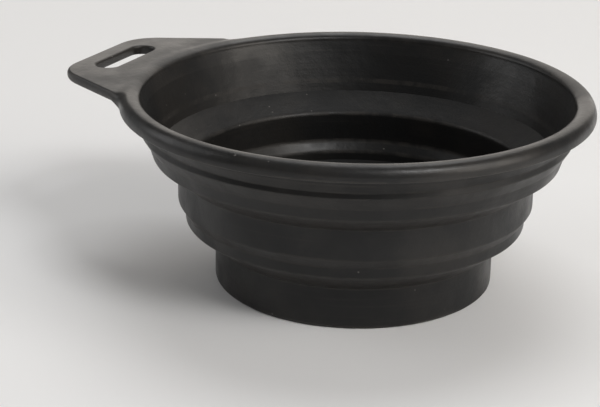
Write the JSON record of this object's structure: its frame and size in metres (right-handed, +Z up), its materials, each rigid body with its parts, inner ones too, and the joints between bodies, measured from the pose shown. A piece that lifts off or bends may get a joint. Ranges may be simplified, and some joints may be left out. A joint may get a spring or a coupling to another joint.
{
  "type": "collapsible travel pet bowl",
  "caption": "Round black silicone travel bowl with stepped walls that fold flat stage by stage, a thick rolled rim and a flat carry tab with a slot.",
  "frame": {"origin": "centre of the round underside that the bowl stands on", "axes": "+Z up out of the bowl's mouth, +Y towards the carry tab"},
  "size_m": [0.13, 0.149, 0.0542],
  "materials": {
    "stage_silicone": "satin black moulded silicone",
    "web_silicone": "satin black moulded silicone, thin",
    "rim_silicone": "smooth satin black moulded silicone"
  },
  "bodies": {
    "base": {"base_cup": "stage_silicone", "lower_fold_web": "web_silicone"},
    "middle": {"middle_section": "stage_silicone", "upper_fold_web": "web_silicone"},
    "collar": {"collar": "stage_silicone", "rim_ring": "rim_silicone", "carry_tab": "rim_silicone"}
  },
  "joints": [
    {"name": "middle_fold", "type": "slide", "parent": "base", "child": "middle", "axis": [0, 0, -1], "range_m": [0, 0.0165], "deforming": ["lower_fold_web"]},
    {"name": "collar_fold", "type": "slide", "parent": "middle", "child": "collar", "axis": [0, 0, -1], "range_m": [0, 0.0192], "deforming": ["upper_fold_web"]}
  ]
}
